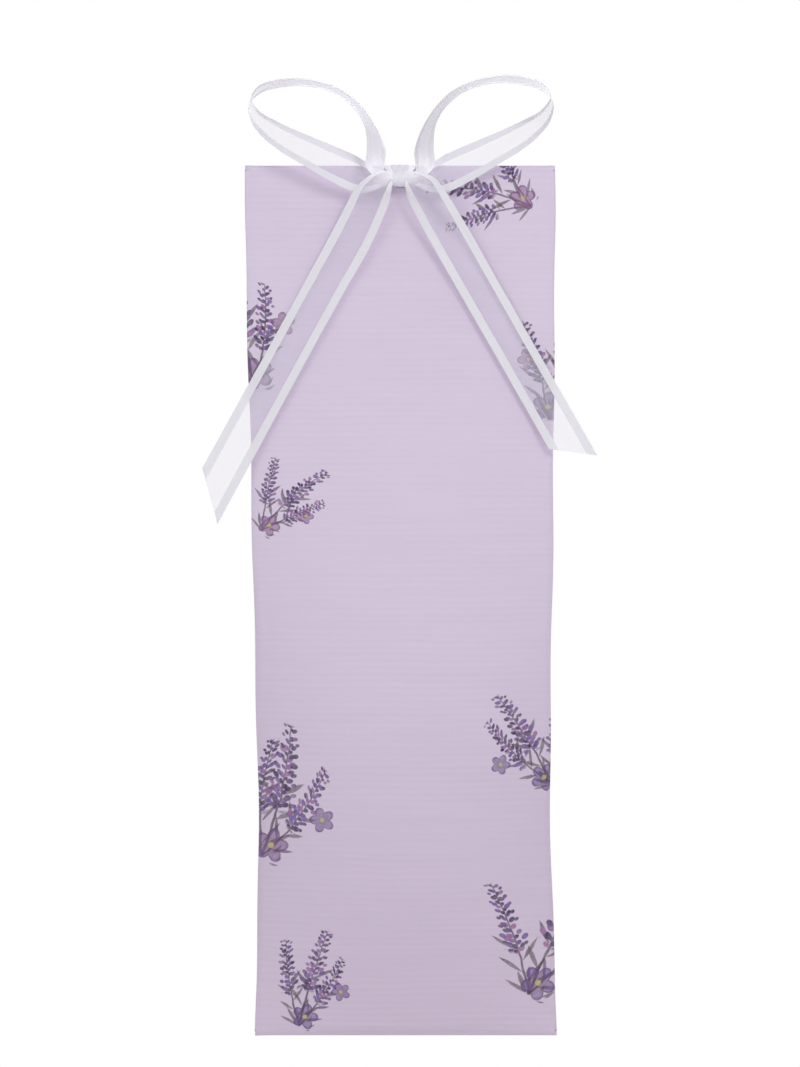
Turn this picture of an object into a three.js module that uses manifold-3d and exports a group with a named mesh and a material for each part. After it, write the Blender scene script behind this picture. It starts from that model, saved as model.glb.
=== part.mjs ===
// Lavender sachet: a folded paper envelope of scented granules, hung by a sheer ribbon tied in a bow.
// Millimetres. X points right, Y back and Z up. The origin is the middle of the punched hole.

import * as THREE from 'three';
import { mergeVertices } from 'three/addons/utils/BufferGeometryUtils.js';
import Module from 'manifold-3d';

const wasm = await Module();
wasm.setup();

// Driving dimensions of the envelope
const envelopeHeight = 220;
const topWidth = 78.5;
const bottomWidth = 76.5;
const sideDrawIn = 3; // the filled belly is this much narrower than the flat ends
const bellyDepth = 12;
const bellyPlaceShare = 0.7; // deepest point of the belly, down from the top
const bellyFlatnessShare = 2.3; // power of the curve across the belly
const paperThickness = 0.25;
const layerGap = 0.4; // between two layers of folded paper
const seamLap = 12;
const topFlapLength = 18;
const bottomFlapLength = 15;
const flapCornerCut = 4;
const foldEdgeGap = 0.4; // from the back panel's end to the inside of the flap's fold

// Driving dimensions of the punched hole
const holeDiameter = 3;
const holeBelowTop = 4.3;

// Driving dimensions of the glue
const glueStripWidth = 6;
const glueEdgeMargin = 2;
const glueClearance = 0.1; // to the paper on each side
const glueBelowHole = 3;

// Driving dimensions of the fill
const fillClearance = 0.4;
const fillLeastDepth = 0.8;
const granuleSpacing = 6;
const granuleRise = 0.9;
const fillLeastShare = 0.05; // least part of the belly's width that the bed takes at its two ends

// Driving dimensions of the ribbon
const ribbonWidth = 10;
const satinWidth = 2.2;
const webThickness = 0.3;
const satinThickness = 0.5;
const ribbonClearance = 0.35; // between two stretches of ribbon, and from ribbon to paper

// Driving dimensions of the strand round the top edge
const strandTopWidth = 8.2;
const strandHoleWidth = 2;
const strandKnotWidth = 4.6;
const strandBunchThickness = 0.9;
const strandThickness = 0.5;
const strandHem = 1.2; // from the hole's middle up to the front leg's lower end
const strandBunchStartShare = 0.6;
const strandBunchEndShare = 0.8;

// Driving dimensions of the knot
const knotLength = 4.6;
const knotHeight = 3.1;
const knotDepth = 2.9;
const knotRise = 1.2; // middle of the knot above the middle of the hole
const knotProfileShares = [[0, -1], [0.55, -1], [0.7, -0.8], [0.75, -0.6], [0.95, -0.45], [1, 0]];
const knotPinchShare = 0.15; // half width of a gathered ribbon inside the knot
const knotSpreadShare = 0.22; // the upper band enters this far above the knot's middle, the lower one below

// Driving dimensions of the two loops. Their edges are shares of the loop's reach and rise.
const loopDepth = 2.3; // middle of the ribbon in front of the hole's middle
const loops = {
  left: { reach: 38.4, rise: 26.5 },
  right: { reach: 38.9, rise: 27.3 },
};
const loopNearEdgeShares = [
  [0.22, 0.28], [0.237, 0.55], [0.38, 0.805], [0.6, 0.915], [0.79, 0.905], [0.925, 0.845],
  [0.995, 0.745], [0.99, 0.6], [0.92, 0.44], [0.65, 0.2], [0.48, 0.04], [0.3, -0.05],
];
const loopFarEdgeShares = [
  [0.093, 0.275], [0.165, 0.56], [0.34, 0.85], [0.59, 0.985], [0.8, 0.985], [0.94, 0.91],
  [0.98, 0.8], [0.93, 0.69], [0.8, 0.595], [0.545, 0.42], [0.375, 0.31], [0.267, 0.235],
];
const loopRootGatherShare = 0.57; // width of the gathered ribbon at the start of the upper band
const loopEndGatherShare = 0.83; // and at the end of the lower band
const loopGatherRunShare = 0.1; // of the loop's length

// Driving dimensions of the two tails
const tails = {
  left: { length: 91.5, angle: 28.7, endCut: 10.4, longEdge: -1 }, // the inner edge is the longer one
  right: { length: 79.8, angle: 29.9, endCut: 7.5, longEdge: 1 },
};
const tailRootOut = 4.4; // middle of the tail's start, sideways from the hole's middle
const tailRootRise = 0.9;
const tailRootWidth = 3.6;
const tailShoulderWidth = 9.3;
const tailShoulderRun = 5;
const tailWidenRun = 12;
const tailRootDepth = 4.9;
const tailShoulderDepth = 6;
const tailEndDepth = 3;
const tailSettleRun = 18;
const tailCup = 1; // the shoulder's edges lie this much behind its middle

// How finely the curved faces are divided
const paperRows = 20;
const paperColumns = 18;
const sideFoldSteps = 4;
const endFoldSteps = 6;
const punchSides = 24;
const grainRows = 28;
const grainColumns = 14;
const grainSearchSteps = 400;
const loopSteps = 40;
const tailSteps = 24;
const strandSteps = 24;
const knotSides = 20;
const rootSteps = 5;

// Worked out places
const halfWall = paperThickness / 2;
const layerPitch = paperThickness + layerGap;
const frontY = -layerPitch;
const innerBackY = 0;
const outerBackY = layerPitch;
const flapY = 2 * layerPitch;
const topZ = holeBelowTop;
const bottomZ = topZ - envelopeHeight;
const foldRadius = (flapY - frontY) / 2;
const foldMiddleY = (flapY + frontY) / 2;
const topFoldZ = topZ - halfWall - foldRadius;
const bottomFoldZ = bottomZ + halfWall + foldRadius;
const bellyPower = Math.log(0.5) / Math.log(bellyPlaceShare);
const paperFrontY = frontY - halfWall;
const paperBackY = flapY + halfWall;

function downShare(z) {
  return THREE.MathUtils.clamp((topZ - z) / envelopeHeight, 0, 1);
}

function bellyShare(z) {
  return Math.sin(Math.PI * downShare(z) ** bellyPower);
}

function halfWidth(z) {
  const flat = THREE.MathUtils.lerp(topWidth, bottomWidth, downShare(z));
  return (flat - sideDrawIn * bellyShare(z)) / 2;
}

function bulge(x, z) {
  const across = Math.min(1, Math.abs(x) / halfWidth(z));
  return bellyDepth * bellyShare(z) * (1 - across ** bellyFlatnessShare);
}

// A closed skin between two grids of points. isCell says which cells of the grid exist.
function skin(front, back, isCell) {
  const rows = front.length;
  const columns = front[0].length;
  const positions = [];
  const numbers = new Map();
  const vertex = (side, i, j) => {
    const key = `${side},${i},${j}`;
    if (!numbers.has(key)) {
      const point = (side ? back : front)[i][j];
      numbers.set(key, positions.length / 3);
      positions.push(point.x, point.y, point.z);
    }
    return numbers.get(key);
  };
  const cells = [];
  const used = new Set();
  for (let i = 0; i < rows - 1; i += 1) {
    for (let j = 0; j < columns - 1; j += 1) {
      if (isCell(i, j)) {
        const corners = [[i, j], [i + 1, j], [i + 1, j + 1], [i, j + 1]];
        cells.push(corners);
        corners.forEach((from, k) => used.add(`${from}>${corners[(k + 1) % 4]}`));
      }
    }
  }
  const faces = [];
  for (const corners of cells) {
    const [a, b, c, d] = corners.map(([i, j]) => vertex(0, i, j));
    const [e, f, g, h] = corners.map(([i, j]) => vertex(1, i, j));
    faces.push(a, b, c, a, c, d, e, g, f, e, h, g);
    corners.forEach((from, k) => {
      const to = corners[(k + 1) % 4];
      if (!used.has(`${to}>${from}`)) {
        const [p, q] = [vertex(0, ...from), vertex(0, ...to)];
        const [r, s] = [vertex(1, ...from), vertex(1, ...to)];
        faces.push(q, p, r, q, r, s);
      }
    });
  }
  return facingOut(positions, faces);
}

function facingOut(positions, faces) {
  const corner = (k) => new THREE.Vector3().fromArray(positions, 3 * faces[k]);
  let volume = 0;
  for (let k = 0; k < faces.length; k += 3) {
    volume += corner(k).dot(corner(k + 1).cross(corner(k + 2)));
  }
  if (volume < 0) {
    for (let k = 0; k < faces.length; k += 3) {
      [faces[k], faces[k + 1]] = [faces[k + 1], faces[k]];
    }
  }
  const geometry = new THREE.BufferGeometry();
  geometry.setAttribute('position', new THREE.Float32BufferAttribute(positions, 3));
  geometry.setIndex(faces);
  return geometry;
}

// A sheet of the given thickness round a grid of middle points.
function slab(points, thicknessAt, isCell = () => true) {
  const normals = points.map((row) => row.map(() => new THREE.Vector3()));
  for (let i = 0; i < points.length - 1; i += 1) {
    for (let j = 0; j < points[0].length - 1; j += 1) {
      if (isCell(i, j)) {
        const across = points[i + 1][j + 1].clone().sub(points[i][j]);
        const down = points[i][j + 1].clone().sub(points[i + 1][j]);
        const normal = across.cross(down).normalize();
        for (const [k, l] of [[i, j], [i + 1, j], [i + 1, j + 1], [i, j + 1]]) {
          normals[k][l].add(normal);
        }
      }
    }
  }
  const offset = (side) => points.map((row, i) => row.map((point, j) => (
    point.clone().addScaledVector(normals[i][j].normalize(), side * thicknessAt(i, j) / 2)
  )));
  return skin(offset(1), offset(-1), isCell);
}

function toSolid(geometry) {
  const bare = geometry.clone();
  bare.deleteAttribute('normal');
  bare.deleteAttribute('uv');
  const merged = mergeVertices(bare);
  return new wasm.Manifold(new wasm.Mesh({
    numProp: 3,
    vertProperties: new Float32Array(merged.attributes.position.array),
    triVerts: new Uint32Array(merged.index.array),
  }));
}

function toGeometry(solid) {
  const mesh = solid.getMesh();
  const geometry = new THREE.BufferGeometry();
  geometry.setAttribute('position', new THREE.BufferAttribute(mesh.vertProperties, 3));
  geometry.setIndex(new THREE.BufferAttribute(mesh.triVerts, 1));
  return geometry;
}

function steps(from, to, count) {
  return Array.from({ length: count + 1 }, (_, k) => THREE.MathUtils.lerp(from, to, k / count));
}

// The paper: one blank, wrapped round into a tube whose back edges lap, with a flap folded over at each end
function envelopeSheet() {
  const bodyTop = topFoldZ - foldEdgeGap;
  const bodyBottom = bottomFoldZ + foldEdgeGap;
  const flapRow = (foldZ, up, angle) => ({
    y: foldMiddleY + foldRadius * Math.cos(angle),
    z: foldZ + up * foldRadius * Math.sin(angle),
    cut: 0,
  });
  const flap = (foldZ, up, length) => [
    { y: flapY, z: foldZ + up * (foldRadius + halfWall - length), cut: flapCornerCut },
    { y: flapY, z: foldZ + up * (foldRadius + halfWall + flapCornerCut - length), cut: 0 },
    ...steps(0, Math.PI, endFoldSteps).map((angle) => flapRow(foldZ, up, angle)),
  ];
  const rows = [
    ...flap(topFoldZ, 1, topFlapLength),
    ...steps(bodyTop, bodyBottom, paperRows).map((z) => ({ y: frontY, z, cut: 0, body: true })),
    ...flap(bottomFoldZ, -1, bottomFlapLength).reverse(),
  ];
  const innerRadius = (innerBackY - frontY) / 2;
  const outerRadius = (outerBackY - frontY) / 2;
  const columns = [
    ...steps(0, 1, 2).slice(0, -1).map((share) => ({ place: 'inner', share })),
    ...steps(0, Math.PI, sideFoldSteps).slice(0, -1).map((angle) => ({ place: 'leftFold', angle })),
    ...steps(-1, 1, paperColumns).map((share) => ({ place: 'front', share })),
    ...steps(0, Math.PI, sideFoldSteps).slice(1, -1).map((angle) => ({ place: 'rightFold', angle })),
    ...steps(1, 0, 2).map((share) => ({ place: 'outer', share })),
  ];
  const pointAt = (row, column) => {
    const half = halfWidth(row.z) - halfWall;
    const left = -half + innerRadius;
    const right = half - outerRadius;
    if (column.place === 'inner') {
      return [THREE.MathUtils.lerp(seamLap / 2, left, column.share), innerBackY];
    }
    if (column.place === 'leftFold') {
      return [
        left - innerRadius * Math.sin(column.angle),
        (innerBackY + frontY) / 2 + innerRadius * Math.cos(column.angle),
      ];
    }
    if (column.place === 'rightFold') {
      return [
        right + outerRadius * Math.sin(column.angle),
        (outerBackY + frontY) / 2 - outerRadius * Math.cos(column.angle),
      ];
    }
    if (column.place === 'outer') {
      return [THREE.MathUtils.lerp(-seamLap / 2, right, column.share), outerBackY];
    }
    if (!row.body) {
      return [column.share * (half - row.cut), row.y];
    }
    const x = THREE.MathUtils.lerp(left, right, (column.share + 1) / 2);
    return [x, row.y - bulge(x, row.z)];
  };
  const points = rows.map((row) => columns.map((column) => {
    const [x, y] = pointAt(row, column);
    return new THREE.Vector3(x, y, row.z);
  }));
  const isFront = (j) => columns[j].place === 'front' && columns[j + 1].place === 'front';
  const isCell = (i, j) => (rows[i].body && rows[i + 1].body) || isFront(j);
  const paper = toSolid(slab(points, () => paperThickness, isCell));
  const punch = new THREE.CylinderGeometry(holeDiameter / 2, holeDiameter / 2, 4 * foldRadius, punchSides);
  return toGeometry(paper.subtract(toSolid(punch)));
}

function plate(outline, fromZ, toZ) {
  const shape = new THREE.Shape(outline.map(([x, y]) => new THREE.Vector2(x, y)));
  const geometry = new THREE.ExtrudeGeometry(shape, { depth: toZ - fromZ, bevelEnabled: false });
  return geometry.translate(0, 0, fromZ);
}

function backSeamGlue() {
  const x = glueStripWidth / 2;
  const low = innerBackY + halfWall + glueClearance;
  const high = outerBackY - halfWall - glueClearance;
  const top = -holeDiameter / 2 - glueBelowHole;
  const bottom = bottomFoldZ + foldEdgeGap + glueEdgeMargin;
  return plate([[-x, low], [x, low], [x, high], [-x, high]], bottom, top);
}

// A flap's glue steps down from the outer back layer on to the inner one, left of the seam.
function flapGlue(flapEndZ, up) {
  const reach = halfWidth(flapEndZ) - flapCornerCut - outerBackY - glueEdgeMargin;
  const step = -seamLap / 2 - glueClearance;
  const high = flapY - halfWall - glueClearance;
  const low = outerBackY + halfWall + glueClearance;
  const deep = innerBackY + halfWall + glueClearance;
  const start = flapEndZ + up * glueEdgeMargin;
  const ends = [start, start + up * glueStripWidth].sort((a, b) => a - b);
  const outline = [[-reach, deep], [step, deep], [step, low], [reach, low], [reach, high], [-reach, high]];
  return plate(outline, ...ends);
}

// The granules: a lumpy bed that fills the belly, as far as the belly is deep enough to hold it
function grainBed() {
  const leastBelly = fillLeastDepth + 2 * fillClearance;
  const isDeep = (z) => bellyDepth * bellyShare(z) > leastBelly;
  const filled = steps(topZ, bottomZ, grainSearchSteps).filter(isDeep);
  const backFace = innerBackY - halfWall - fillClearance;
  const turn = 2 * Math.PI / granuleSpacing;
  const front = steps(filled[0], filled[filled.length - 1], grainRows).map((z) => {
    const left = 1 - leastBelly / (bellyDepth * bellyShare(z));
    const edge = halfWidth(z) * Math.max(left, fillLeastShare) ** (1 / bellyFlatnessShare) - fillClearance;
    return steps(-edge, edge, grainColumns).map((x) => {
      const lump = (1 + Math.sin(x * turn) * Math.cos(z * turn)) / 2;
      const deepest = frontY + halfWall - bulge(x, z) + fillClearance;
      return new THREE.Vector3(x, Math.min(deepest + granuleRise * lump, backFace - fillLeastDepth / 2), z);
    });
  });
  const back = front.map((row) => row.map(({ x, z }) => new THREE.Vector3(x, backFace, z)));
  return skin(front, back, () => true);
}

// Places across the ribbon, from edge to edge, close together where the satin edge begins
const satinStartShare = 1 - 2 * satinWidth / ribbonWidth;
const webEndShare = satinStartShare - (satinThickness - webThickness) / ribbonWidth;
const halfPlaces = [webEndShare, satinStartShare, 1];
const ribbonPlaces = [...halfPlaces.map((place) => -place).reverse(), 0, ...halfPlaces];

function ribbonThickness(i, j) {
  return Math.abs(ribbonPlaces[j]) > webEndShare ? satinThickness : webThickness;
}

// A ribbon along a run of cross lines. lineAt gives a line's two ends and how far its middle stands forward.
function ribbon(lineAt, count) {
  const points = steps(0, 1, count).map((along) => ribbonPlaces.map((place) => {
    const { start, end, cup = 0 } = lineAt(along, place);
    const point = start.clone().lerp(end, (place + 1) / 2);
    point.y += cup * place * place;
    return point;
  }));
  return slab(points, ribbonThickness);
}

const sides = [{ name: 'left', out: -1 }, { name: 'right', out: 1 }];

// The loop's edges lie one behind the other: what the flat view hides of the ribbon's width is its depth.
function loopLine(side, along) {
  const { reach, rise } = loops[side.name];
  const edge = (shares) => new THREE.CatmullRomCurve3(
    shares.map(([far, up]) => new THREE.Vector3(side.out * far * reach, 0, up * rise)),
    false,
    'catmullrom',
    0.5,
  ).getPoint(along);
  const start = edge(loopNearEdgeShares);
  const end = edge(loopFarEdgeShares);
  const opened = THREE.MathUtils.smoothstep(along, 0, loopGatherRunShare);
  const closing = THREE.MathUtils.smoothstep(along, 1 - loopGatherRunShare, 1);
  const rootShare = THREE.MathUtils.lerp(loopRootGatherShare, 1, opened);
  const endShare = THREE.MathUtils.lerp(1, loopEndGatherShare, closing);
  const width = ribbonWidth * rootShare * endShare;
  const depth = Math.sqrt(Math.max(width ** 2 - start.distanceToSquared(end), 0));
  start.y = -loopDepth - depth / 2;
  end.y = -loopDepth + depth / 2;
  return { start, end };
}

function loop(side) {
  return ribbon((along) => loopLine(side, along), loopSteps);
}

function tailDepth(run) {
  const settle = THREE.MathUtils.smoothstep(run, tailShoulderRun, tailShoulderRun + 2 * tailSettleRun);
  const puff = THREE.MathUtils.smoothstep(run, 0, tailShoulderRun);
  const shoulder = THREE.MathUtils.lerp(tailRootDepth, tailShoulderDepth, puff);
  return THREE.MathUtils.lerp(shoulder, tailEndDepth, settle);
}

function tailWidth(run) {
  const shoulder = THREE.MathUtils.smoothstep(run, 0, tailShoulderRun);
  const widen = THREE.MathUtils.smoothstep(run, tailShoulderRun, tailShoulderRun + tailWidenRun);
  return THREE.MathUtils.lerp(
    THREE.MathUtils.lerp(tailRootWidth, tailShoulderWidth, shoulder),
    ribbonWidth,
    widen,
  );
}

function tail(side) {
  const { length, angle, endCut, longEdge } = tails[side.name];
  const lean = THREE.MathUtils.degToRad(angle);
  const along = new THREE.Vector3(side.out * Math.sin(lean), 0, -Math.cos(lean));
  const across = new THREE.Vector3(side.out * Math.cos(lean), 0, Math.sin(lean));
  const root = new THREE.Vector3(side.out * tailRootOut, 0, tailRootRise);
  const edge = (share, outer) => {
    const run = share * (length + outer * longEdge * endCut / 2);
    const point = root.clone().addScaledVector(along, run);
    point.addScaledVector(across, outer * tailWidth(run) / 2);
    point.y = -tailDepth(run);
    return point;
  };
  return ribbon((share) => ({
    start: edge(share, -1),
    end: edge(share, 1),
    cup: tailCup * THREE.MathUtils.smoothstep(share * length, 0, tailShoulderRun)
      * (1 - THREE.MathUtils.smoothstep(share * length, tailShoulderRun, tailShoulderRun + tailWidenRun)),
  }), tailSteps);
}

// The strand: from the knot over the envelope's top edge, down its back and out through the hole
function throughStrand() {
  const gap = ribbonClearance + strandThickness / 2;
  const front = paperFrontY - gap;
  const back = paperBackY + gap;
  const over = topZ + gap;
  const holeFront = paperFrontY - gap - strandBunchThickness / 4;
  const route = new THREE.CatmullRomCurve3([
    new THREE.Vector3(0, front, strandHem),
    new THREE.Vector3(0, front, topZ - strandHem),
    new THREE.Vector3(0, front, topZ),
    new THREE.Vector3(0, (front + frontY) / 2, over),
    new THREE.Vector3(0, (back + flapY) / 2, over),
    new THREE.Vector3(0, back, topZ),
    new THREE.Vector3(0, back, topZ / 2),
    new THREE.Vector3(0, back, topZ / 4),
    new THREE.Vector3(0, flapY, 0),
    new THREE.Vector3(0, frontY, 0),
    new THREE.Vector3(0, holeFront, 0),
  ]);
  const widthShares = [strandKnotWidth, strandTopWidth, strandTopWidth, strandHoleWidth, strandHoleWidth];
  const lineAt = (share) => {
    const place = share * (widthShares.length - 1);
    const k = Math.min(Math.floor(place), widthShares.length - 2);
    const width = THREE.MathUtils.lerp(widthShares[k], widthShares[k + 1], place - k);
    const point = route.getPoint(share);
    const reach = new THREE.Vector3(width / 2, 0, 0);
    return { start: point.clone().sub(reach), end: point.clone().add(reach) };
  };
  const points = steps(0, 1, strandSteps).map((share) => ribbonPlaces.map((place) => {
    const { start, end } = lineAt(share);
    return start.lerp(end, (place + 1) / 2);
  }));
  const thickness = (i) => {
    const bunched = THREE.MathUtils.smoothstep(i / strandSteps, strandBunchStartShare, strandBunchEndShare);
    return THREE.MathUtils.lerp(strandThickness, strandBunchThickness, bunched);
  };
  return slab(points, thickness);
}

// The knot: a wrap round the gathered roots of both loops
function knot() {
  const behind = 2 * ribbonClearance + strandThickness;
  const middle = new THREE.Vector3(0, paperFrontY - behind - knotDepth / 2, knotRise);
  const half = knotLength / 2;
  const radius = knotHeight / 2;
  const mirrored = knotProfileShares.slice(0, -1).reverse().map(([out, up]) => [out, -up]);
  const profile = [...knotProfileShares, ...mirrored];
  const outline = profile.map(([out, up]) => new THREE.Vector2(out * radius, up * half));
  const wrap = new THREE.LatheGeometry(outline, knotSides);
  wrap.rotateZ(Math.PI / 2);
  wrap.scale(1, knotDepth / knotHeight, 1);
  wrap.translate(middle.x, middle.y, middle.z);
  let solid = toSolid(wrap);
  for (const side of sides) {
    for (const band of [{ along: 0, up: 1 }, { along: 1, up: -1 }]) {
      const entry = new THREE.Vector3(side.out * half / 2, 0, band.up * knotHeight * knotSpreadShare);
      solid = solid.add(toSolid(loopRoot(side, band.along, middle.clone().add(entry))));
    }
  }
  return toGeometry(solid);
}

// The gathered ribbon from a loop's end to the inside of the knot
function loopRoot(side, along, inner) {
  const line = loopLine(side, along);
  const pinch = new THREE.Vector3(0, knotDepth * knotPinchShare, 0);
  const outwards = line.start.clone().lerp(line.end, 0.5).sub(inner).normalize();
  const begin = line.start.clone().addScaledVector(outwards, -ribbonClearance);
  const finish = line.end.clone().addScaledVector(outwards, -ribbonClearance);
  return ribbon((share) => ({
    start: begin.clone().lerp(inner.clone().sub(pinch), share),
    end: finish.clone().lerp(inner.clone().add(pinch), share),
  }), rootSteps);
}

// Materials and the finished group
function material(color, roughness, extra = {}) {
  return new THREE.MeshStandardMaterial({ color, roughness, metalness: 0, ...extra });
}

const paper = material(0xcfbfd9, 0.8);
const glue = material(0xe6dfc8, 0.5);
const granules = material(0xb79f86, 0.95);
const organza = material(0xf4f2f7, 0.45, { transparent: true, opacity: 0.75 });

const group = new THREE.Group();

function place(name, geometry, finish) {
  const flat = geometry.index ? geometry.toNonIndexed() : geometry;
  flat.computeVertexNormals();
  const mesh = new THREE.Mesh(flat, finish);
  mesh.name = name;
  group.add(mesh);
}

place('envelope_sheet', envelopeSheet(), paper);
place('back_seam_glue', backSeamGlue(), glue);
place('top_flap_glue', flapGlue(topZ - topFlapLength, 1), glue);
place('bottom_flap_glue', flapGlue(bottomZ + bottomFlapLength, -1), glue);
place('scented_granules', grainBed(), granules);
place('ribbon_through_strand', throughStrand(), organza);
place('ribbon_knot', knot(), organza);
for (const side of sides) {
  place(`${side.name}_loop`, loop(side), organza);
  place(`${side.name}_tail`, tail(side), organza);
}

export default group;
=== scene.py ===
"""Lavender sachet: a folded paper envelope of scented granules with a sheer ribbon tied in a bow.

Lengths are millimetres until a mesh is made, and metres in Blender.
"""
import math

import bpy
import numpy as np
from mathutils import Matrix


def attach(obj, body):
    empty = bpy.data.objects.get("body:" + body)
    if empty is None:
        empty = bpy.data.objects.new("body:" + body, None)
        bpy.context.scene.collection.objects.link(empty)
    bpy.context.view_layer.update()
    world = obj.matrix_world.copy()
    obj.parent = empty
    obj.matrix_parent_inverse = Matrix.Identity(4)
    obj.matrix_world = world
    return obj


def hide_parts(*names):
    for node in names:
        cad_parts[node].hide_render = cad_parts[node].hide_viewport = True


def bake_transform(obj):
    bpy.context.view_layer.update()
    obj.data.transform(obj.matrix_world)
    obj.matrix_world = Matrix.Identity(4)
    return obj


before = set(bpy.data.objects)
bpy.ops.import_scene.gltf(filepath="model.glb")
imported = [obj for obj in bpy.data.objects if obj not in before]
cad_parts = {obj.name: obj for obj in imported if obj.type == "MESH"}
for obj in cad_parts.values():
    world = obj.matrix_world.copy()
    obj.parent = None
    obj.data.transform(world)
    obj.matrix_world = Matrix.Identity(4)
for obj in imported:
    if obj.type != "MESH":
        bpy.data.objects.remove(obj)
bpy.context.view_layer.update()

MM = 0.001
scene = bpy.context.scene
scene.view_settings.view_transform = "Standard"
scene.cycles.transparent_max_bounces = 32

# The envelope's sizes, as in the CAD source
HEIGHT = 220
TOP_WIDTH = 78.5
BOTTOM_WIDTH = 76.5
SIDE_DRAW_IN = 3
BELLY_DEPTH = 12
BELLY_PLACE = 0.7
BELLY_FLATNESS = 2.3
PAPER = 0.25
LAYER_PITCH = 0.65
SEAM_LAP = 12
TOP_FLAP = 18
BOTTOM_FLAP = 15
FLAP_CORNER = 4
FOLD_EDGE_GAP = 0.4
TOP_Z = 4.3
BOTTOM_Z = TOP_Z - HEIGHT
HOLE_RADIUS = 1.5
FRONT_Y = -LAYER_PITCH
OUTER_BACK_Y = LAYER_PITCH
FLAP_Y = 2 * LAYER_PITCH
FOLD_RADIUS = 1.5 * LAYER_PITCH
TOP_FOLD_Z = TOP_Z - PAPER / 2 - FOLD_RADIUS
BOTTOM_FOLD_Z = BOTTOM_Z + PAPER / 2 + FOLD_RADIUS
LEAN = 1.5  # how far right the bottom lies of the top
SNUG = 0.06  # the gap left where paper lies on paper
TUCK = 0.6  # how far the tube's end reaches into the fold of a flap
# Where a flap settles from one height to another: where this starts and ends
SETTLES_AT_SEAM = (2.6, 0.6)  # before the seam's edge
SETTLES_AT_SIDE = (3.2, 0.4)  # before the flap's side edge
SETTLES_AT_END = (0.3, 1.8)  # from the flap's end

SIDE_WAVER = 0.16
DRAWN_FORWARD = 0.85  # by the tight ribbon, at the hole
PRESSED_DOWN = 0.42  # by the ribbon, at the top edge
RIPPLES = 9
RIPPLE_HEIGHT = 0.028
# Dents in the front: across, up, reach along and across, angle in degrees, depth
DENTS = (
    (33.5, -136.5, 6.5, 2.2, -6, 0.33),
    (35, -133.6, 6, 1.6, -8, -0.22),
    (-30, -175.5, 7.5, 1.8, -24, -0.3),
    (-33, -178.5, 6, 1.8, -20, 0.25),
    (36.5, -40, 2.6, 4.5, 8, 0.3),
    (34.5, -70, 2.2, 9, 4, 0.28),
    (-35, -112, 2.4, 12, -3, 0.25),
    (-33.5, -61, 2.4, 8, 6, -0.18),
    (12, -196, 12, 2.4, 9, 0.2),
    (-8, -92, 16, 3.2, -7, 0.12),
    (20, -104, 13, 2.8, 14, 0.12),
)

# How finely the paper is divided
NEAR_HOLE = 2.4
FINE_STEP = 0.3
STEP = 1.8
BACK_STEP = 3
FOLD_PLACES = 9
SIDE_PLACES = 6
OFF_THE_PRINT = 400  # added to a place on the sheet, so that it stays bare

# The ribbon's sizes
RIBBON = 10
SATIN = 2.1
WEB_THICK = 0.05
SATIN_THICK = 0.06
BAND_TILT = 1.9  # the upper band of a loop leans away, so it is looked at through more of its threads
BUNCHED = 3.1  # how fast threads that are drawn together hide what is behind them
ROUND_EDGE_BUNCHED = 2.8
KNOT_BUNCHED = 3.4


def lerp(a, b, t):
    return a + (b - a) * t


def smooth(x, start, end):
    t = np.clip((np.asarray(x, float) - start) / (end - start), 0, 1)
    return t * t * (3 - 2 * t)


def catmull(points, places, knots=None):
    """Points on a smooth curve through the given ones, at places from 0 to 1. Knots say where it meets them."""
    p = np.asarray(points, float)
    t = np.linspace(0, 1, len(p)) if knots is None else knots / knots[-1]
    step = np.diff(t)[:, None]
    slope = np.diff(p, axis=0) / step
    middle = (slope[:-1] * step[1:] + slope[1:] * step[:-1]) / (step[1:] + step[:-1])
    way = np.vstack([slope[:1], middle, slope[-1:]])
    x = np.clip(np.asarray(places, float), 0, 1)
    k = np.clip(np.searchsorted(t, x, side="right") - 1, 0, len(p) - 2)
    s = (x - t[k])[:, None] / step[k]
    start = (2 * s**3 - 3 * s**2 + 1) * p[k] + (s**3 - 2 * s**2 + s) * step[k] * way[k]
    return start + (3 * s**2 - 2 * s**3) * p[k + 1] + (s**3 - s**2) * step[k] * way[k + 1]


def run_along(points):
    """How far along the line through the points each one lies."""
    return np.concatenate([[0], np.cumsum(np.linalg.norm(np.diff(points, axis=0), axis=1))])


def knots_between(near, far):
    """How far along the ribbon each pair of its edges' points lies."""
    return run_along((np.asarray(near, float) + np.asarray(far, float)) / 2)


def even(points, count):
    """The curve through the points at count + 1 places, evenly spread along its length."""
    fine = catmull(points, np.linspace(0, 1, 400))
    run = run_along(fine)
    want = np.linspace(0, run[-1], count + 1)
    return np.stack([np.interp(want, run, fine[:, i]) for i in range(fine.shape[1])], 1)


# Envelope shape
def down_share(z):
    return np.clip((TOP_Z - z) / HEIGHT, 0, 1)


def belly_share(z):
    return np.sin(np.pi * down_share(z) ** (math.log(0.5) / math.log(BELLY_PLACE)))


def half_width(z):
    flat = lerp(TOP_WIDTH, BOTTOM_WIDTH, down_share(z))
    return (flat - SIDE_DRAW_IN * belly_share(z)) / 2


def edge_waver(z, side):
    """The small unevenness of a hand-folded side edge."""
    fade = smooth(down_share(z), 0, 0.08) * (1 - smooth(down_share(z), 0.93, 1))
    return SIDE_WAVER * fade * (np.sin(z / 7.3 + 2 * side) + 0.7 * np.sin(z / 17 + side))


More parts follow.
